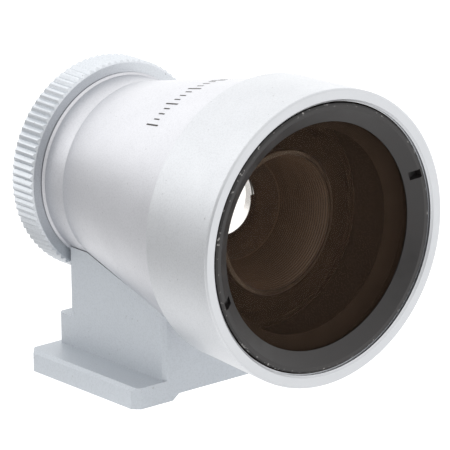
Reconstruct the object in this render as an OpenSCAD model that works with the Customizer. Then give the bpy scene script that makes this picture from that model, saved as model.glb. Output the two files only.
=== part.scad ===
// Accessory-shoe optical finder. Units are millimetres.
// +Z is up, the optical axis runs along Y, and the front lens faces -Y.
// The origin is the centre of the foot's underside.

/* [Overall] */
// Height of the optical axis above the foot's underside
axis_h = 17.9; // [17:0.1:20]
// Front face of the hood's rim
rim_y = -23.45; // [-25:0.05:-22]
// Rear edge of the hood
hood_back_y = -14.55; // [-16:0.05:-13]
// Where the cone meets the neck
crease_y = 3.1; // [2:0.1:4]
// Rear end of the neck
neck_end_y = 5.95; // [5.8:0.05:5.95]

/* [Foot] */
// Width of the foot, as for a standard accessory shoe
foot_w = 18.6; // [18:0.1:18.8]
// Length of the foot
foot_l = 15.6; // [14:0.1:18]
// Thickness of the foot
foot_t = 2.0; // [1.8:0.05:2.1]
// Chamfer on the foot's upright corners
foot_corner = 0.65; // [0.3:0.05:1.2]
// Chamfer along the foot's top edges
foot_edge = 0.32; // [0.1:0.02:0.5]
// Depth of the relief under the foot
relief_h = 0.55; // [0.2:0.05:0.8]
// Half width of the relief at the underside
relief_half = 5.05; // [3:0.05:6]

/* [Pedestal] */
// Half width of the pedestal
ped_half = 5.95; // [5:0.05:6.3]
// Rear face of the pedestal above its step
ped_back_y = 5.92; // [5:0.02:5.92]
// Rear face of the pedestal below its step
ped_low_y = 7.6; // [7:0.05:7.8]
// Height of the step
ped_step_z = 4.9; // [4:0.1:6]
// Chamfer on the pedestal's upright edges
ped_edge = 0.35; // [0.1:0.05:0.6]
// Seam between the saddle and the barrel
saddle_gap = 0.06; // [0.02:0.01:0.1]

/* [Barrel and hood] */
// Radius of the neck
neck_r = 8.61; // [8.4:0.01:9]
// Radius of the cone where the hood covers it
cone_r = 12.65; // [12.3:0.05:13]
// Radius of the hood at its rear edge
hood_back_r = 13.12; // [12.9:0.02:13.5]
// Radius of the hood at its front
hood_front_r = 13.58; // [13.2:0.02:14]
// Inner radius of the hood's flat rim
rim_in_r = 12.62; // [12.5:0.02:12.9]

/* [Optics] */
// Radius of the front lens
lens_r = 11.4; // [11:0.05:11.4]
// Front vertex of the front lens
lens_y = -22.95; // [-23.2:0.05:-22.9]
// Radius of curvature of the front lens's outer face
lens_front_curve = 80; // [40:1:200]
// Radius of curvature of the front lens's inner face
lens_back_curve = 15.3; // [15:0.1:20]
// Centre thickness of the front lens
lens_t = 1.2; // [1:0.1:1.4]
// Radius of curvature of the mirror lens's rear face
mirror_curve = 35.5; // [33:0.5:40]
// Radius of curvature of the eyepiece lens's rear face
eyepiece_curve = 32; // [25:1:50]

/* [Eyepiece ring] */
// Radius over the knurl
ring_r = 9.95; // [9.5:0.05:10.4]
// Front face of the knurled ring
ring_y = 6.0; // [6:0.01:6.1]
// Rear face of the knurled ring
ring_end_y = 9.0; // [8.9:0.05:9.4]
// Number of knurl teeth
teeth = 88; // [60:2:100]
// Depth of the knurl
tooth_h = 0.24; // [0.15:0.01:0.4]
// Half of the ring's turn, in degrees
turn_half = 60; // [30:5:75]
// Half of the eyepiece cell's travel
travel_half = 0.75; // [0.3:0.05:0.75]

/* [Hidden] */
$fn = 96;
eps = 0.01;
run_gap = 0.05;
big = 60;

cone_slope = (cone_r - neck_r) / (crease_y - hood_back_y);
foot_front_y = -foot_l / 2;

spigot_r = 12.0;
spigot_y = -17.6;
front_bore_r = 10.95;
tube_r = 7.75;
tube_y = -15.4;
tube_end_y = -3.0;
tube_in_r = 7.15;
mask_y = 1.3;
mask_end_y = 1.6;
mask_r = 7.3;
guide_in_r = 6.7;
guide_out_r = 7.2;
guide_end_y = 8.75;
counterbore_r = 8.15;
counterbore_y = 3.4;
cell_y = 3.0;
cell_end_y = 7.9;
cell_bore_r = 6.35;
eyepiece_r = 6.33;
eyepiece_y = 3.5;
eyepiece_t = 1.47;
pin_r = 0.6;
pin_y = 6.05;
pin_tip_r = 7.65;
pin_root_r = 6.45;
channel_y = 4.6;
channel_end_y = 7.5;
channel_r = 7.75;
land_end_y = 8.3;
clip_y = 8.38;
clip_end_y = 8.6;
clip_groove_r = 6.94;
stop_r = 0.4;
stop_radius = 7.62;
stop_y = 2.6;
stop_end_y = 4.2;
stop_notch_y = 4.3;
web_lap = 1.1;
thread_gap = 0.08;
lens_clamp_r = 9.6;
spacer_in_r = 10.2;
cone_small_r = 5.4;
hole_gap = 0.1;
clip_out_r = 7.7;
clip_recess_r = 8.3;
disc_y = -13.8;
disc_end_y = -13.5;
mirror_y = -18.6;
mirror_t = 1.0;
mirror_r = 10.9;
mirror_spacer_y = -15.88;
thread_bore_r = 12.3;
lens_bore_r = 11.45;
lens_bore_y = -21.25;
seat_y = -18.42;
lens_back_y = -18.67;
web_y = -17.65;
screw_ys = [-4.0, 0.5];
screw_tips = [9.6, 10.2];
screw_r = 1.0;
screw_head_r = 1.9;
screw_head_h = 0.9;
guard_r = 9.5;
guard_in_r = 8.6;
guard_y = 8.7;
guard_end_y = 9.4;

// Radius of the outer cone at a place along the axis
function cone_at(y) = neck_r + cone_slope * (crease_y - y);

// Turns a profile of [radius, y] points about the optical axis
module turned(points) {
    translate([0, 0, axis_h])
        rotate([-90, 0, 0])
            rotate_extrude()
                polygon(points);
}

// A disc about the optical axis
module disc(r, y0, y1) {
    translate([0, y0, axis_h])
        rotate([-90, 0, 0])
            cylinder(r = r, h = y1 - y0);
}

// A sphere whose centre is on the optical axis
module axis_ball(r, y) {
    translate([0, y, axis_h])
        sphere(r = r, $fn = 720);
}

// Places its children at an angle round the axis, with +X pointing outward
module around(angle, y) {
    translate([0, y, axis_h])
        rotate([0, -angle, 0])
            children();
}

// An arc-shaped cut centred on the bottom of the axis
module bottom_arc(r0, r1, y0, y1, half_angle) {
    translate([0, 0, axis_h])
        rotate([-90, 0, 0])
            rotate([0, 0, 90 - half_angle])
                rotate_extrude(angle = 2 * half_angle)
                    polygon([[r0, y0], [r1, y0], [r1, y1], [r0, y1]]);
}

// Rectangle with chamfered corners
module cut_rect(x0, x1, y0, y1, c) {
    polygon([[x0 + c, y0], [x1 - c, y0], [x1, y0 + c], [x1, y1 - c],
        [x1 - c, y1], [x0 + c, y1], [x0, y1 - c], [x0, y0 + c]]);
}

// Side profile with a chamfered top edge, from z = 0 to the foot's thickness
module top_cut_profile(half) {
    polygon([[-half, 0], [half, 0], [half, foot_t - foot_edge], [half - foot_edge, foot_t],
        [-half + foot_edge, foot_t], [-half, foot_t - foot_edge]]);
}

module foot_plate() {
    intersection() {
        linear_extrude(height = foot_t)
            cut_rect(-foot_w / 2, foot_w / 2, foot_front_y, foot_l / 2, foot_corner);
        translate([0, foot_l / 2 + eps, 0])
            rotate([90, 0, 0])
                linear_extrude(height = foot_l + 2 * eps)
                    top_cut_profile(foot_w / 2);
    }
}

module pedestal_solid() {
    translate([0, 0, foot_t - eps])
        linear_extrude(height = axis_h - foot_t)
            cut_rect(-ped_half, ped_half, foot_front_y, ped_back_y, ped_edge);
    translate([0, 0, foot_t - eps])
        linear_extrude(height = ped_step_z - foot_t + eps)
            cut_rect(-ped_half, ped_half, foot_front_y, ped_low_y, ped_edge);
}

module foot_relief() {
    slope = 0.75;
    translate([0, foot_l / 2 + 1, 0])
        rotate([90, 0, 0])
            linear_extrude(height = foot_l + 2)
                polygon([[-relief_half, -eps], [relief_half, -eps],
                    [relief_half - slope, relief_h], [-relief_half + slope, relief_h]]);
}

module shoe_block() {
    g = saddle_gap;
    color([0.80, 0.82, 0.84])
        difference() {
            union() {
                foot_plate();
                pedestal_solid();
            }
            turned([[0, foot_front_y - 1], [cone_at(foot_front_y - 1) + g, foot_front_y - 1],
                [neck_r + g, crease_y], [neck_r + g, big / 2], [0, big / 2]]);
            foot_relief();
            for (i = [0, 1]) {
                translate([0, screw_ys[i], -1])
                    cylinder(r = screw_r + hole_gap, h = axis_h);
                translate([0, screw_ys[i], relief_h - eps])
                    cylinder(r1 = screw_head_r + run_gap, r2 = screw_r + run_gap, h = screw_head_h + run_gap);
            }
        }
}

module pedestal_screws() {
    slot_w = 0.5;
    slot_h = 0.35;
    color([0.72, 0.73, 0.74])
        for (i = [0, 1])
            translate([0, screw_ys[i], relief_h])
                difference() {
                    union() {
                        cylinder(r1 = screw_head_r, r2 = screw_r, h = screw_head_h);
                        cylinder(r = screw_r, h = screw_tips[i] - relief_h);
                    }
                    translate([-screw_head_r - 1, -slot_w / 2, -eps])
                        cube([2 * screw_head_r + 2, slot_w, slot_h]);
                }
}

module barrel_shell() {
    bead = 0.19;
    bead_flat = 0.05;
    taper_end_y = -6.5;
    taper_r = front_bore_r - 0.6;
    cell_shoulder_y = 2.1;
    web_r = 5.9;
    slot_half = pin_r + travel_half + run_gap;
    color([0.82, 0.84, 0.86])
        difference() {
            turned([[spigot_r, spigot_y], [spigot_r, hood_back_y], [cone_r, hood_back_y],
                [neck_r, crease_y], [neck_r, neck_end_y - bead - bead_flat],
                [neck_r + bead, neck_end_y - bead_flat], [neck_r + bead, neck_end_y],
                [counterbore_r, neck_end_y], [counterbore_r, counterbore_y],
                [guide_out_r, counterbore_y], [guide_out_r, guide_end_y],
                [guide_in_r, guide_end_y], [guide_in_r, cell_shoulder_y],
                [web_r, cell_shoulder_y], [web_r, mask_end_y], [mask_r, mask_end_y],
                [mask_r, tube_end_y], [tube_r, tube_end_y], [tube_r, taper_end_y],
                [taper_r, disc_end_y], [front_bore_r, disc_end_y],
                [front_bore_r, spigot_y]]);
            for (a = [90, 210, 330])
                around(a, 0)
                    translate([guide_in_r - 1, pin_y - slot_half, -pin_r - run_gap])
                        cube([guide_out_r + hole_gap - guide_in_r + 1, 2 * slot_half, 2 * (pin_r + run_gap)]);
            difference() {
                disc(guide_out_r + 1, clip_y - 2 * eps, clip_end_y + 2 * eps);
                disc(clip_groove_r, clip_y - 1, clip_end_y + 1);
            }
            translate([0, stop_y, axis_h - stop_radius])
                rotate([-90, 0, 0])
                    cylinder(r = stop_r, h = 2);
            for (i = [0, 1])
                translate([0, screw_ys[i], 0])
                    cylinder(r = screw_r, h = screw_tips[i] + hole_gap);
        }
}

module front_hood() {
    chamfer = 0.18;
    bevel = 0.2;
    edge = 0.08;
    rim_t = 0.5;
    color([0.84, 0.86, 0.88])
        turned([[hood_back_r - edge, hood_back_y], [hood_back_r, hood_back_y - edge],
            [hood_front_r, rim_y + chamfer], [hood_front_r - chamfer, rim_y],
            [rim_in_r, rim_y], [rim_in_r - bevel, rim_y + bevel],
            [rim_in_r - bevel, rim_y + rim_t], [thread_bore_r, rim_y + rim_t],
            [thread_bore_r, lens_bore_y], [lens_bore_r, lens_bore_y],
            [lens_bore_r, seat_y], [lens_bore_r - web_lap, seat_y],
            [lens_bore_r - web_lap, web_y], [spigot_r, web_y], [spigot_r, hood_back_y]]);
}

module front_retaining_ring() {
    r_in = 10.41;
    face_y = rim_y + 0.17;
    face_w = 0.35;
    bevel_w = 0.25;
    bevel_h = 0.13;
    lip_y = rim_y + 1.03;
    lip_t = 0.1;
    seat_rise = 0.24;
    slot_angle = 18.5;
    slot_w = 0.8;
    slot_l = 1.0;
    slot_end_y = 1.0;
    color([0.12, 0.12, 0.12])
        difference() {
            turned([[thread_bore_r - thread_gap, face_y + bevel_h], [thread_bore_r - bevel_w, face_y],
                [thread_bore_r - bevel_w - face_w, face_y], [r_in, lip_y],
                [r_in, lip_y + lip_t], [lens_bore_r, lip_y + seat_rise], [lens_bore_r, lens_bore_y],
                [thread_bore_r - thread_gap, lens_bore_y]]);
            for (a = [slot_angle, slot_angle + 180])
                around(a, rim_y)
                    translate([r_in + 0.5, 0, -slot_w / 2])
                        cube([slot_l, slot_end_y, slot_w]);
        }
}

module front_lens() {
    color([0.30, 0.24, 0.20, 0.5])
        difference() {
            intersection() {
                disc(lens_r, lens_y - 1, lens_back_y);
                axis_ball(lens_front_curve, lens_y + lens_front_curve);
            }
            axis_ball(lens_back_curve, lens_y + lens_t + lens_back_curve);
        }
}

module lens_spacer() {
    color([0.10, 0.10, 0.10])
        turned([[lens_bore_r - web_lap, lens_back_y], [lens_bore_r, lens_back_y],
            [lens_bore_r, seat_y], [lens_bore_r - web_lap, seat_y]]);
}

module mirror_lens() {
    color([0.40, 0.34, 0.28, 0.5])
        difference() {
            intersection() {
                disc(mirror_r, mirror_y - 1, mirror_spacer_y);
                axis_ball(mirror_curve + mirror_t, mirror_y + mirror_t + mirror_curve);
            }
            axis_ball(mirror_curve, mirror_y + mirror_t + mirror_curve);
        }
}

module mirror_lens_ring() {
    outer_l = 0.62;
    inner_l = 0.26;
    color([0.10, 0.10, 0.10])
        turned([[lens_clamp_r, spigot_y], [front_bore_r, spigot_y],
            [front_bore_r, spigot_y + outer_l], [lens_clamp_r, spigot_y + inner_l]]);
}

module mirror_spacer() {
    color([0.10, 0.10, 0.10])
        turned([[spacer_in_r, mirror_spacer_y], [front_bore_r, mirror_spacer_y],
            [front_bore_r, disc_y], [spacer_in_r, disc_y]]);
}

module light_baffle_disc() {
    color([0.08, 0.08, 0.08])
        turned([[tube_r, disc_y], [front_bore_r, disc_y],
            [front_bore_r, disc_end_y], [tube_r, disc_end_y]]);
}

module baffle_tube() {
    ribs = 24;
    rib_pitch = 0.5;
    rib_h = 0.22;
    rib_y = tube_y + 0.25;
    color([0.30, 0.22, 0.18])
        turned(concat([[tube_in_r, tube_y]],
            [for (i = [0 : ribs - 1], k = [0, 1])
                [tube_in_r + k * rib_h, rib_y + (i + k / 2) * rib_pitch]],
            [[tube_in_r, rib_y + ribs * rib_pitch], [tube_in_r - 0.1, tube_end_y],
                [tube_r, tube_end_y], [tube_r, tube_y + 0.2], [tube_r - 0.2, tube_y]]));
}

module inner_cone() {
    color([0.16, 0.14, 0.13])
        turned([[tube_in_r - 0.1, tube_end_y], [mask_r, tube_end_y],
            [mask_r, mask_y], [cone_small_r, mask_y]]);
}

module frame_mask() {
    hole_r = 4.6;
    notch_r = 5.25;
    notch_from = 5;
    notch_to = 62;
    color([0.16, 0.13, 0.11])
        difference() {
            disc(mask_r, mask_y, mask_end_y);
            disc(hole_r, mask_y - 1, mask_end_y + 1);
            translate([0, 0, axis_h])
                rotate([-90, 0, 0])
                    rotate([0, 0, -notch_to])
                        rotate_extrude(angle = notch_to - notch_from)
                            polygon([[hole_r - 1, mask_y - 1], [notch_r, mask_y - 1],
                                [notch_r, mask_end_y + 1], [hole_r - 1, mask_end_y + 1]]);
        }
}

module wave_washer() {
    washer_t = 0.25;
    split_half = 6;
    color([0.70, 0.66, 0.55])
        difference() {
            turned([[guide_out_r + hole_gap, counterbore_y], [counterbore_r - hole_gap, counterbore_y],
                [counterbore_r - hole_gap, counterbore_y + washer_t],
                [guide_out_r + hole_gap, counterbore_y + washer_t]]);
            bottom_arc(guide_out_r - 1, counterbore_r + 1, counterbore_y - 1,
                counterbore_y + 1, split_half);
        }
}

module stop_pin() {
    color([0.75, 0.75, 0.76])
        translate([0, stop_y, axis_h - stop_radius])
            rotate([-90, 0, 0])
                cylinder(r = stop_r, h = stop_end_y - stop_y);
}

// Outline of the straight knurl: rounded crests with V cuts between them
module knurl_outline() {
    step = 360 / teeth;
    places = [0, 0.16, 0.32, 0.66];
    drops = [0.2, 0, 0.2, 1];
    polygon([for (i = [0 : teeth - 1], k = [0 : 3])
        let (a = (i + places[k]) * step, r = ring_r - drops[k] * tooth_h)
            [r * cos(a), r * sin(a)]]);
}

module knurled_ring() {
    sleeve_y = 3.7;
    edge = 0.2;
    face_r = ring_r - tooth_h - 0.03;
    stop_play = 5;
    color([0.80, 0.82, 0.84])
        difference() {
            union() {
                intersection() {
                    translate([0, ring_y, axis_h])
                        rotate([-90, 0, 0])
                            linear_extrude(height = ring_end_y - ring_y)
                                knurl_outline();
                    turned([[0, ring_y], [face_r, ring_y],
                        [ring_r + eps, ring_y + edge], [ring_r + eps, ring_end_y - edge],
                        [face_r, ring_end_y], [0, ring_end_y]]);
                }
                disc(counterbore_r - run_gap, sleeve_y, ring_y + 1);
            }
            disc(guide_out_r + run_gap, sleeve_y - 1, ring_end_y + 1);
            disc(channel_r, channel_y, channel_end_y);
            disc(clip_recess_r, land_end_y, ring_end_y + 1);
            difference() {
                disc(guard_r, guard_y, ring_end_y + 1);
                disc(guard_in_r, guard_y - 1, ring_end_y + 1);
            }
            bottom_arc(guide_out_r - 1, counterbore_r + 0.5, sleeve_y - 1, stop_notch_y,
                turn_half + stop_play);
        }
}

module eye_guard() {
    edge = 0.22;
    color([0.07, 0.07, 0.07])
        turned([[guard_in_r, guard_y], [guard_r, guard_y], [guard_r, guard_end_y - edge],
            [guard_r - edge, guard_end_y], [guard_in_r + edge, guard_end_y],
            [guard_in_r, guard_end_y - edge]]);
}

module retaining_clip() {
    split_half = 14;
    color([0.60, 0.61, 0.62])
        difference() {
            turned([[clip_groove_r, clip_y], [clip_out_r, clip_y], [clip_out_r, clip_end_y],
                [clip_groove_r, clip_end_y]]);
            bottom_arc(clip_groove_r - 1, clip_out_r + 1, clip_y - 1, clip_end_y + 1, split_half);
        }
}

module eyepiece_cell() {
    lip_r = 6.1;
    color([0.80, 0.80, 0.79])
        difference() {
            turned([[lip_r, cell_y], [guide_in_r - run_gap, cell_y],
                [guide_in_r - run_gap, cell_end_y], [cell_bore_r, cell_end_y],
                [cell_bore_r, eyepiece_y], [lip_r, eyepiece_y]]);
            for (a = [90, 210, 330])
                around(a, pin_y)
                    translate([pin_root_r, 0, 0])
                        rotate([0, 90, 0])
                            cylinder(r = pin_r, h = guide_out_r - pin_root_r);
        }
}

module eyepiece_lens() {
    color([0.75, 0.80, 0.82, 0.4])
        intersection() {
            disc(eyepiece_r, eyepiece_y, eyepiece_y + 2 * eyepiece_t);
            axis_ball(eyepiece_curve, eyepiece_y + eyepiece_t - eyepiece_curve);
        }
}

module eyepiece_retaining_ring() {
    front_y = 4.4;
    in_r = 6.1;
    length = 0.7;
    color([0.80, 0.80, 0.79])
        turned([[in_r, front_y], [cell_bore_r, front_y],
            [cell_bore_r, front_y + length], [in_r + 0.1, front_y + length]]);
}

module drive_pins() {
    color([0.62, 0.58, 0.42])
        for (a = [90, 210, 330])
            around(a, pin_y)
                translate([pin_root_r, 0, 0])
                    rotate([0, 90, 0])
                        cylinder(r = pin_r, h = pin_tip_r - pin_root_r);
}

shoe_block();
pedestal_screws();
barrel_shell();
front_hood();
front_retaining_ring();
front_lens();
lens_spacer();
mirror_lens();
mirror_lens_ring();
mirror_spacer();
light_baffle_disc();
baffle_tube();
inner_cone();
frame_mask();
wave_washer();
stop_pin();
knurled_ring();
eye_guard();
retaining_clip();
eyepiece_cell();
eyepiece_lens();
eyepiece_retaining_ring();
drive_pins();
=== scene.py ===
import math

import bpy
import bmesh
from mathutils import Matrix, Vector


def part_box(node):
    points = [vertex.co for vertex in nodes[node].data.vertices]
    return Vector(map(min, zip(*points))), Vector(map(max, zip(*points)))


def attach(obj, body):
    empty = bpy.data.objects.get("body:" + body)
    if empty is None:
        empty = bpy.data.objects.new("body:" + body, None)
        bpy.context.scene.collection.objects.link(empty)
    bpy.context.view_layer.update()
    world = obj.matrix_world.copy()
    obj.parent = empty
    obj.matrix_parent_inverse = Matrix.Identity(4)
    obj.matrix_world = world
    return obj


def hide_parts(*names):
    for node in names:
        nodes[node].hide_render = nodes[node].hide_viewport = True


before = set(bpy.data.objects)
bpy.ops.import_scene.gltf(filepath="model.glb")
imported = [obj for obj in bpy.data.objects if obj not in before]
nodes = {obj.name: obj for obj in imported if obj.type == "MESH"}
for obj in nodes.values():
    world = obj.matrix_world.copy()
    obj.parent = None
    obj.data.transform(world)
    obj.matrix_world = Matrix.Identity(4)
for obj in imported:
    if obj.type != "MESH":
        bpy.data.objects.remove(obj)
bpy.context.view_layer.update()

MM = 0.001
AXIS_H = 17.9 * MM
BODY = "finder_body"
CELL = "eyepiece_unit"

# The cone's shape and the lenses' curves, as in the CAD model
CREASE_Y = 3.1 * MM
NECK_R = 8.61 * MM
CONE_R = 12.65 * MM
HOOD_BACK_Y = -14.55 * MM
CONE_SLOPE = (CONE_R - NECK_R) / (CREASE_Y - HOOD_BACK_Y)
WALL_T = 0.4 * MM
HOOD_BORE_R = 12.34 * MM
MASK_Y = 1.45 * MM
TUBE_IN_R = 7.15 * MM
WORN_GLINT_R = 11.93 * MM
FRONT_CURVE = 80.0 * MM
FRONT_BACK_CURVE = 15.3 * MM
FRONT_T = 1.2 * MM
MIRROR_CURVE = 35.5 * MM
MIRROR_T = 1.0 * MM
EYEPIECE_CURVE = 32.0 * MM
FLAT_CURVE = 1000.0
GLASS_IOR = 1.52
GRAIN_SCALE = 6500.0
GRAIN_DEPTH = 0.03 * MM
PAINT_DEPTH = 0.01 * MM
RIM_BAND = 0.12 * MM
TUBE_FACE = 0.15 * MM
MARK_LIFT = 0.008 * MM
SEAT_GAP = 0.02 * MM
FLOOR_GAP = 0.01 * MM
FLOOR_SIZE = 3.0

# Studio: brightness of the tent at the horizon and above, the floor's own glow far off to the left
# rear and near, and panels as (azimuth, edge of the panel as a cosine, height of the full change,
# height where it has faded out, change of brightness)
TENT_HORIZON = 1.85
TENT_TOP = 1.60
GLOW_FAR = 0.28
GLOW_NEAR = 0.97
GLOW_FROM = -40 * MM
GLOW_TO = -4 * MM
PANELS = ((-146.0, 0.55, 0.02, 0.17, -1.20), (-38.0, 0.55, 0.20, 0.60, -1.2),
          (150.0, 0.5, 0.1, 0.5, 0.20), (-170.0, 0.35, 0.38, 0.12, 0.50))


# ---------------------------------------------------------------- node helpers
def new_material(name):
    mat = bpy.data.materials.new(name)
    mat.use_nodes = True
    nt = mat.node_tree
    nt.nodes.clear()
    out = nt.nodes.new("ShaderNodeOutputMaterial")
    bsdf = nt.nodes.new("ShaderNodeBsdfPrincipled")
    nt.links.new(bsdf.outputs["BSDF"], out.inputs["Surface"])
    return mat, nt, bsdf


def scaled(tint, factor):
    return tuple(min(1.0, c * factor) for c in tint)


def math_node(nt, op, a, b=None):
    n = nt.nodes.new("ShaderNodeMath")
    n.operation = op
    for i, v in enumerate((a, b)):
        if v is None:
            continue
        if isinstance(v, (int, float)):
            n.inputs[i].default_value = v
        else:
            nt.links.new(v, n.inputs[i])
    return n.outputs[0]


def object_coords(nt):
    return nt.nodes.new("ShaderNodeTexCoord").outputs["Object"]


def noise(nt, scale, detail=2.0, rough=0.5, coords=None):
    n = nt.nodes.new("ShaderNodeTexNoise")
    n.inputs["Scale"].default_value = scale
    n.inputs["Detail"].default_value = detail
    n.inputs["Roughness"].default_value = rough
    nt.links.new(coords if coords is not None else object_coords(nt), n.inputs["Vector"])
    return n.outputs["Fac"]


def remap(nt, value, lo, hi, from_lo=0.0, from_hi=1.0):
    n = nt.nodes.new("ShaderNodeMapRange")
    n.inputs["From Min"].default_value = from_lo
    n.inputs["From Max"].default_value = from_hi
    n.inputs["To Min"].default_value = lo
    n.inputs["To Max"].default_value = hi
    nt.links.new(value, n.inputs["Value"])
    return n.outputs["Result"]


def mix_colour(nt, fac, a, b):
    n = nt.nodes.new("ShaderNodeMix")
    n.data_type = "RGBA"
    nt.links.new(fac, n.inputs["Factor"])
    for key, v in (("A", a), ("B", b)):
        sock = [s for s in n.inputs if s.name == key and s.type == "RGBA"][0]
        if isinstance(v, (tuple, list)):
            sock.default_value = (*v, 1.0)
        else:
            nt.links.new(v, sock)
    return [s for s in n.outputs if s.type == "RGBA"][0]


def bump(nt, bsdf, height, strength, distance):
    n = nt.nodes.new("ShaderNodeBump")
    n.inputs["Strength"].default_value = strength
    n.inputs["Distance"].default_value = distance
    nt.links.new(height, n.inputs["Height"])
    nt.links.new(n.outputs["Normal"], bsdf.inputs["Normal"])


def axis_radius(nt):
    """Distance from the optical axis, and the place along it, in metres."""
    sep = nt.nodes.new("ShaderNodeSeparateXYZ")
    nt.links.new(object_coords(nt), sep.inputs[0])
    z = math_node(nt, "SUBTRACT", sep.outputs["Z"], AXIS_H)
    zz = math_node(nt, "MULTIPLY", z, z)
    xx = math_node(nt, "MULTIPLY", sep.outputs["X"], sep.outputs["X"])
    return math_node(nt, "SQRT", math_node(nt, "ADD", xx, zz)), sep.outputs["Y"]


# ---------------------------------------------------------------- materials
BARREL_TINT = (0.590, 0.594, 0.620)
HOOD_TINT = (0.590, 0.602, 0.622)
RING_TINT = (0.600, 0.625, 0.655)
SHOE_TINT = (0.480, 0.510, 0.545)
MATT_BLACK = (0.036, 0.024, 0.016)
TUBE_BROWN = (0.115, 0.073, 0.048)
BLOOM_TINT = (0.80, 0.52, 0.36)
SPECK = (0.30, 0.30, 0.31)
# darkening of the hood's front rim band, painted shade
RIM_PAINTED_SHADE = 0.89


def satin_metal(name, tint, rough, dark_inside=None, metallic=1.0, rim_y=None):
    """Satin metal with a fine blasted grain. dark_inside(nt, r, y) masks the blackened bores, and
    the metal ahead of rim_y is drawn darker as painted shade."""
    mat, nt, bsdf = new_material(name)
    grain = noise(nt, GRAIN_SCALE, 3.0, 0.6)
    cloud = noise(nt, 260.0, 4.0, 0.55)
    colour = mix_colour(nt, remap(nt, cloud, 0.35, 0.65), scaled(tint, 0.97), scaled(tint, 1.03))
    colour = mix_colour(nt, remap(nt, grain, 0.0, 1.0, 0.38, 0.55), scaled(tint, 0.92), colour)
    dust = remap(nt, noise(nt, 2600.0, 2.0, 0.4), 0.0, 0.6, 0.745, 0.77)
    colour = mix_colour(nt, dust, colour, SPECK)
    roughness = remap(nt, cloud, rough - 0.04, rough + 0.05, 0.3, 0.7)
    if dark_inside is None:
        bsdf.inputs["Metallic"].default_value = metallic
        relief = grain
    else:
        r, y = axis_radius(nt)
        mask = dark_inside(nt, r, y)
        if rim_y is not None:
            # painted shade: the metal ahead of rim_y is drawn darker than the rest
            ahead = math_node(nt, "LESS_THAN", y, rim_y)
            colour = mix_colour(nt, ahead, colour, scaled(tint, RIM_PAINTED_SHADE))
        colour = mix_colour(nt, mask, colour, MATT_BLACK)
        bare = math_node(nt, "SUBTRACT", 1.0, mask)
        nt.links.new(bare, bsdf.inputs["Metallic"])
        nt.links.new(math_node(nt, "MULTIPLY", bare, 0.5), bsdf.inputs["Specular IOR Level"])
        relief = math_node(nt, "MULTIPLY", bare, grain)
        roughness = math_node(nt, "ADD", roughness, math_node(nt, "MULTIPLY", mask, 0.25))
    nt.links.new(colour, bsdf.inputs["Base Color"])
    nt.links.new(roughness, bsdf.inputs["Roughness"])
    bump(nt, bsdf, relief, 0.33, GRAIN_DEPTH)
    return mat


def dark_finish(name, tint, rough=0.5, metallic=0.0, specular=0.5, relief=0.1):
    mat, nt, bsdf = new_material(name)
    cloud = noise(nt, 500.0, 3.0, 0.5)
    patches = remap(nt, cloud, 0.0, 1.0, 0.3, 0.7)
    nt.links.new(mix_colour(nt, patches, scaled(tint, 0.85), scaled(tint, 1.15)),
                 bsdf.inputs["Base Color"])
    nt.links.new(remap(nt, cloud, rough - 0.06, rough + 0.06, 0.3, 0.7), bsdf.inputs["Roughness"])
    bsdf.inputs["Metallic"].default_value = metallic
    bsdf.inputs["Specular IOR Level"].default_value = specular
    bump(nt, bsdf, noise(nt, 7000.0, 3.0, 0.6), relief, PAINT_DEPTH)
    return mat


def black_ring_finish(name):
    """Black paint worn to bare metal in spots along the ring's outer edge; the spots also stand in
    as a painted glint on that edge.
    """
    mat, nt, bsdf = new_material(name)
    r, _ = axis_radius(nt)
    cloud = noise(nt, 700.0, 3.0, 0.5)
    patches = remap(nt, cloud, 0.0, 1.0, 0.3, 0.7)
    paint_tint = mix_colour(nt, patches, (0.0100, 0.0084, 0.0082), (0.0160, 0.0136, 0.0133))
    # wear and painted glint: lighter bare-metal spots along the ring's outer edge
    edge = remap(nt, r, 0.0, 1.0, WORN_GLINT_R, WORN_GLINT_R + 0.09 * MM)
    chips_and_glints = remap(nt, noise(nt, 2400.0, 3.0, 0.6), 0.0, 1.0, 0.60, 0.68)
    worn_and_glint = math_node(nt, "MULTIPLY", edge, chips_and_glints)
    nt.links.new(mix_colour(nt, worn_and_glint, paint_tint, (0.30, 0.29, 0.28)), bsdf.inputs["Base Color"])
    nt.links.new(worn_and_glint, bsdf.inputs["Metallic"])
    nt.links.new(remap(nt, cloud, 0.36, 0.5, 0.3, 0.7), bsdf.inputs["Roughness"])
    bump(nt, bsdf, noise(nt, 6000.0, 3.0, 0.6), 0.2, PAINT_DEPTH)
    return mat


def coated_glass(name, tint, bloom=0.0):
    """Glass with a coating so good that it mirrors nothing, and a trace of brown bloom on it."""
    mat, nt, bsdf = new_material(name)
    nt.nodes.remove(bsdf)
    glass = nt.nodes.new("ShaderNodeBsdfRefraction")
    smear = noise(nt, 150.0, 3.0, 0.5)
    nt.links.new(mix_colour(nt, remap(nt, smear, 0.0, 1.0, 0.3, 0.7), scaled(tint, 0.985), tint),
                 glass.inputs["Color"])
    glass.inputs["Roughness"].default_value = 0.0
    glass.inputs["IOR"].default_value = GLASS_IOR
    surface = glass.outputs["BSDF"]
    if bloom:
        veil = nt.nodes.new("ShaderNodeBsdfDiffuse")
        veil.inputs["Color"].default_value = (*BLOOM_TINT, 1.0)
        mix = nt.nodes.new("ShaderNodeMixShader")
        mix.inputs["Fac"].default_value = bloom
        nt.links.new(surface, mix.inputs[1])
        nt.links.new(veil.outputs["BSDF"], mix.inputs[2])
        surface = mix.outputs["Shader"]
    nt.links.new(surface, nt.nodes["Material Output"].inputs["Surface"])
    return mat


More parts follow.
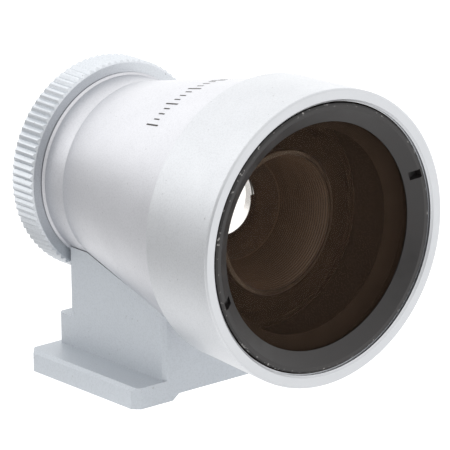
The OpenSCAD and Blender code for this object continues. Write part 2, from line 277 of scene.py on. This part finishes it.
def tube_finish(name, face_y):
    """Brown-black anodised tube with painted shade in its grooves, and a matt black front face."""
    mat, nt, bsdf = new_material(name)
    r, y = axis_radius(nt)
    cloud = noise(nt, 500.0, 3.0, 0.5)
    patches = remap(nt, cloud, 0.0, 1.0, 0.3, 0.7)
    brown = mix_colour(nt, patches, TUBE_BROWN, scaled(TUBE_BROWN, 1.3))
    # painted shade: the colour darkens toward the bottom of the grooves
    groove_painted_shade = remap(nt, r, 0.0, 1.0, TUBE_IN_R + 0.03 * MM, TUBE_IN_R + 0.16 * MM)
    brown = mix_colour(nt, groove_painted_shade, brown, scaled(TUBE_BROWN, 0.35))
    face = math_node(nt, "LESS_THAN", y, face_y)
    nt.links.new(mix_colour(nt, face, brown, MATT_BLACK), bsdf.inputs["Base Color"])
    nt.links.new(remap(nt, cloud, 0.32, 0.42, 0.3, 0.7), bsdf.inputs["Roughness"])
    bsdf.inputs["Specular Tint"].default_value = (1.0, 0.78, 0.60, 1.0)
    return mat


def paint(obj, *mats):
    obj.data.materials.clear()
    for mat in mats:
        obj.data.materials.append(mat)


def blackened_bore(nt, r, y):
    """The barrel is blackened from the front bore to the frame mask, and bare behind it."""
    ahead = math_node(nt, "MAXIMUM", math_node(nt, "SUBTRACT", CREASE_Y, y), 0.0)
    wall = math_node(nt, "ADD", math_node(nt, "MULTIPLY", ahead, CONE_SLOPE), NECK_R - WALL_T)
    inside = math_node(nt, "LESS_THAN", r, wall)
    return math_node(nt, "MULTIPLY", inside, math_node(nt, "LESS_THAN", y, MASK_Y))


def within(radius):
    return lambda nt, r, y: math_node(nt, "LESS_THAN", r, radius)


materials = {
    "barrel": satin_metal("satin_barrel", BARREL_TINT, 0.40, blackened_bore),
    "hood": satin_metal("satin_hood", HOOD_TINT, 0.40, within(HOOD_BORE_R),
                        rim_y=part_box("front_hood")[0][1] + RIM_BAND),
    "ring": satin_metal("satin_ring", RING_TINT, 0.40),
    "shoe": satin_metal("satin_shoe", SHOE_TINT, 0.5, metallic=0.30),
    "bright": satin_metal("bright_bore", (0.88, 0.88, 0.87), 0.30),
    "black": black_ring_finish("black_ring"),
    "matt": dark_finish("matt_black", MATT_BLACK, 0.7, specular=0.03, relief=0.0),
    "cone": dark_finish("blackened_cone", (0.085, 0.052, 0.033), 0.6, specular=0.1, relief=0.0),
    "tube": tube_finish("blackened_tube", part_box("baffle_tube")[0][1] + TUBE_FACE),
    "edge": dark_finish("lens_edge_paint", (0.040, 0.027, 0.019), 0.7, specular=0.03, relief=0.0),
    "rubber": dark_finish("eye_rubber", (0.018, 0.018, 0.018), 0.75, relief=0.5),
    "steel": satin_metal("plain_steel", (0.50, 0.50, 0.50), 0.3),
    "brass": satin_metal("plain_brass", (0.60, 0.44, 0.22), 0.32),
    "mask": dark_finish("blackened_mask", (0.045, 0.030, 0.022), 0.6, specular=0.1, relief=0.0),
    "front_glass": coated_glass("front_glass", (0.99, 0.985, 0.98), 0.016),
    "inner_glass": coated_glass("inner_glass", (0.995, 0.99, 0.985)),
}

USES = {
    "barrel": ["barrel_shell"],
    "hood": ["front_hood"],
    "ring": ["knurled_ring"],
    "shoe": ["shoe_block"],
    "bright": ["eyepiece_cell", "eyepiece_retaining_ring"],
    "black": ["front_retaining_ring"],
    "matt": ["lens_spacer", "mirror_lens_ring", "mirror_spacer", "light_baffle_disc"],
    "cone": ["inner_cone"],
    "tube": ["baffle_tube"],
    "rubber": ["eye_guard"],
    "steel": ["pedestal_screws", "stop_pin", "retaining_clip"],
    "brass": ["wave_washer", "drive_pins"],
    "mask": ["frame_mask"],
}
for key, names in USES.items():
    for node_name in names:
        paint(nodes[node_name], materials[key])


# ---------------------------------------------------------------- lenses
def revolve(name, profile, segments=256):
    """Turns (radius, y) points about the optical axis. The first and last points lie on the axis."""
    bm = bmesh.new()
    rings = []
    for radius, y in profile:
        if radius == 0.0:
            rings.append([bm.verts.new((0.0, y, AXIS_H))])
            continue
        turn = [2 * math.pi * k / segments for k in range(segments)]
        places = [(radius * math.cos(t), y, AXIS_H + radius * math.sin(t)) for t in turn]
        rings.append([bm.verts.new(place) for place in places])
    for a, b in zip(rings, rings[1:]):
        for k in range(segments):
            nxt = (k + 1) % segments
            corners = [a[k % len(a)], a[nxt % len(a)], b[nxt % len(b)], b[k % len(b)]]
            unique = [v for i, v in enumerate(corners) if v not in corners[:i]]
            bm.faces.new(unique)
    bmesh.ops.recalc_face_normals(bm, faces=bm.faces)
    for face in bm.faces:
        face.smooth = True
    for edge in bm.edges:
        if len(edge.link_faces) == 2 and edge.calc_face_angle() > math.radians(12):
            edge.smooth = False
    mesh = bpy.data.meshes.new(name)
    bm.to_mesh(mesh)
    bm.free()
    obj = bpy.data.objects.new(name, mesh)
    bpy.context.scene.collection.objects.link(obj)
    return obj


def dome(vertex_y, curve, radius, steps=36):
    """Points from the axis out to a radius on a sphere that curves toward +Y (curve > 0) or -Y."""
    side = math.copysign(1.0, curve)
    size = abs(curve)
    points = []
    for i in range(steps + 1):
        r = radius * i / steps
        points.append((r, vertex_y + side * (size - math.sqrt(size * size - r * r))))
    return points


def reach(curve, depth):
    """Radius at which a sphere of this curve lies this deep."""
    return math.sqrt(2 * curve * depth - depth * depth)


def lens(name, node, front, back, mat, body, dish=None):
    """Puts a lens in place of its node. With a dish radius, its rim and the flat are blackened."""
    obj = revolve(name, front + back[::-1])
    paint(obj, mat)
    if dish is not None:
        paint(obj, mat, materials["edge"])
        rim_r, rim_y = back[-1]
        for face in obj.data.polygons:
            r = math.hypot(face.center.x, face.center.z - AXIS_H)
            on_flat = r > dish and face.center.y > rim_y - 0.001 * MM
            face.material_index = int(on_flat or r > 0.995 * rim_r)
    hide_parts(node)
    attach(obj, body)


front_lo, front_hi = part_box("front_lens")
front_r = front_hi[0] - SEAT_GAP
front_back_y = front_hi[1] - SEAT_GAP
inner_vertex = front_lo[1] + FRONT_T
dish_r = reach(FRONT_BACK_CURVE, front_back_y - inner_vertex)
lens("front_lens_glass", "front_lens", dome(front_lo[1], FRONT_CURVE, front_r),
     dome(inner_vertex, FRONT_BACK_CURVE, dish_r) + [(front_r, front_back_y)],
     materials["front_glass"], BODY, dish_r)

mirror_lo, mirror_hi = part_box("mirror_lens")
mirror_r = mirror_hi[0] - SEAT_GAP
mirror_flat_y = mirror_hi[1] - SEAT_GAP
mirror_vertex = mirror_lo[1] + MIRROR_T
mirror_back = dome(mirror_vertex, MIRROR_CURVE, reach(MIRROR_CURVE, mirror_flat_y - mirror_vertex))
lens("mirror_lens_glass", "mirror_lens", dome(mirror_lo[1], MIRROR_CURVE + MIRROR_T, mirror_r),
     mirror_back + [(mirror_r, mirror_flat_y)], materials["inner_glass"], BODY)

eye_lo, eye_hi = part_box("eyepiece_lens")
lens("eyepiece_lens_glass", "eyepiece_lens", dome(eye_lo[1], FLAT_CURVE, eye_hi[0], 4),
     dome(eye_hi[1], -EYEPIECE_CURVE, eye_hi[0]), materials["inner_glass"], CELL)


# ---------------------------------------------------------------- index marks
def index_marks(name, rows):
    """Engraved, filled ticks laid on the cone. Each row is (y_from, y_to, angles, width)."""
    bm = bmesh.new()
    for y_from, y_to, angles, width in rows:
        for angle in angles:
            for a, b in ((0, 1), (1, 2)):
                corners = []
                for y, side in ((y_from, a), (y_to, a), (y_to, b), (y_from, b)):
                    r = NECK_R + CONE_SLOPE * (CREASE_Y - y) + MARK_LIFT
                    t = math.radians(angle) + (side - 1) * width / (2 * r)
                    corners.append(bm.verts.new((r * math.cos(t), y, AXIS_H + r * math.sin(t))))
                bm.faces.new(corners)
    bmesh.ops.remove_doubles(bm, verts=bm.verts, dist=0.001 * MM)
    bmesh.ops.recalc_face_normals(bm, faces=bm.faces)
    thick = bmesh.ops.extrude_face_region(bm, geom=bm.faces[:])
    for v in (g for g in thick["geom"] if isinstance(g, bmesh.types.BMVert)):
        x, z = v.co.x, v.co.z - AXIS_H
        scale = 1.0 - 2 * MARK_LIFT / math.hypot(x, z)
        v.co.x, v.co.z = x * scale, AXIS_H + z * scale
    bmesh.ops.recalc_face_normals(bm, faces=bm.faces)
    mesh = bpy.data.meshes.new(name)
    bm.to_mesh(mesh)
    bm.free()
    obj = bpy.data.objects.new(name, mesh)
    bpy.context.scene.collection.objects.link(obj)
    paint(obj, dark_finish("mark_fill", (0.030, 0.026, 0.022), 0.6))
    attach(obj, BODY)


long_ticks = [60 + 14 * i for i in range(6)]
short_ticks = [60 + 14 * i + 3.5 * k for i in range(5) for k in (1, 2, 3)]
index_marks("index_marks", [(-9.3 * MM, -7.4 * MM, long_ticks, 0.17 * MM),
                            (-8.8 * MM, -7.9 * MM, short_ticks, 0.13 * MM)])

# ---------------------------------------------------------------- stage
floor_mesh = bpy.data.meshes.new("floor")
bm = bmesh.new()
bmesh.ops.create_grid(bm, x_segments=8, y_segments=8, size=FLOOR_SIZE)
bm.to_mesh(floor_mesh)
bm.free()
floor = bpy.data.objects.new("floor", floor_mesh)
bpy.context.scene.collection.objects.link(floor)
floor.location.z = -FLOOR_GAP
floor_mat, floor_nt, floor_bsdf = new_material("floor")
floor_tint = mix_colour(floor_nt, noise(floor_nt, 3.0), (0.30, 0.30, 0.30), (0.32, 0.32, 0.32))
floor_nt.links.new(floor_tint, floor_bsdf.inputs["Base Color"])
floor_bsdf.inputs["Roughness"].default_value = 0.8
floor_bsdf.inputs["Specular IOR Level"].default_value = 0.1
floor_bsdf.inputs["Emission Color"].default_value = (1.0, 1.0, 1.0, 1.0)
floor_place = floor_nt.nodes.new("ShaderNodeVectorMath")
floor_place.operation = "DOT_PRODUCT"
floor_nt.links.new(object_coords(floor_nt), floor_place.inputs[0])
floor_place.inputs[1].default_value = (0.90, -0.43, 0.0)
floor_glow = remap(floor_nt, floor_place.outputs["Value"], GLOW_FAR, GLOW_NEAR, GLOW_FROM, GLOW_TO)
floor_nt.links.new(floor_glow, floor_bsdf.inputs["Emission Strength"])
paint(floor, floor_mat)


def studio():
    """A white tent with dimmer panels low behind the object's left and where the camera stands,
    and brighter ones behind the object."""
    world = bpy.data.worlds.new("studio")
    bpy.context.scene.world = world
    world.use_nodes = True
    nt = world.node_tree
    nt.nodes.clear()
    out = nt.nodes.new("ShaderNodeOutputWorld")
    tent = nt.nodes.new("ShaderNodeBackground")
    direction = nt.nodes.new("ShaderNodeTexCoord").outputs["Generated"]
    height = nt.nodes.new("ShaderNodeSeparateXYZ")
    nt.links.new(direction, height.inputs[0])
    level = remap(nt, height.outputs["Z"], TENT_HORIZON, TENT_TOP, 0.0, 0.9)
    for azimuth, tight, top_lo, top_hi, dim in PANELS:
        a = math.radians(azimuth)
        dot = nt.nodes.new("ShaderNodeVectorMath")
        dot.operation = "DOT_PRODUCT"
        nt.links.new(direction, dot.inputs[0])
        dot.inputs[1].default_value = (math.sin(a), -math.cos(a), 0.0)
        inside = math_node(nt, "MULTIPLY", remap(nt, dot.outputs["Value"], 0.0, 1.0, tight, 1.0),
                           remap(nt, height.outputs["Z"], 1.0, 0.0, top_lo, top_hi))
        change = math_node(nt, "MULTIPLY", inside, dim)
        level = math_node(nt, "ADD", level, change)
    nt.links.new(level, tent.inputs["Strength"])
    nt.links.new(tent.outputs[0], out.inputs["Surface"])


studio()

# ---------------------------------------------------------------- camera
FRAME_PX = 450.0
SENSOR = 36.0
AZ, EL, ROLL = -38.95, 17.6, -0.95
CAM = Vector((-365.10, -461.12, 200.15)) * MM
FOCAL_PX = 6800.0


def camera():
    a, e, r = (math.radians(v) for v in (AZ, EL, ROLL))
    back_v = Vector((math.sin(a) * math.cos(e), -math.cos(a) * math.cos(e), math.sin(e)))
    right = Vector((math.cos(a), math.sin(a), 0.0))
    up_v = back_v.cross(right)
    rr = math.cos(r) * right + math.sin(r) * up_v
    uu = -math.sin(r) * right + math.cos(r) * up_v
    data = bpy.data.cameras.new("camera")
    data.sensor_width = SENSOR
    data.lens = FOCAL_PX / FRAME_PX * SENSOR
    data.clip_start = 0.01
    data.clip_end = 20.0
    cam = bpy.data.objects.new("camera", data)
    m = Matrix((rr, uu, back_v)).transposed().to_4x4()
    m.translation = CAM
    cam.matrix_world = m
    bpy.context.scene.collection.objects.link(cam)
    bpy.context.scene.camera = cam


camera()
bpy.context.scene.view_settings.view_transform = "Standard"
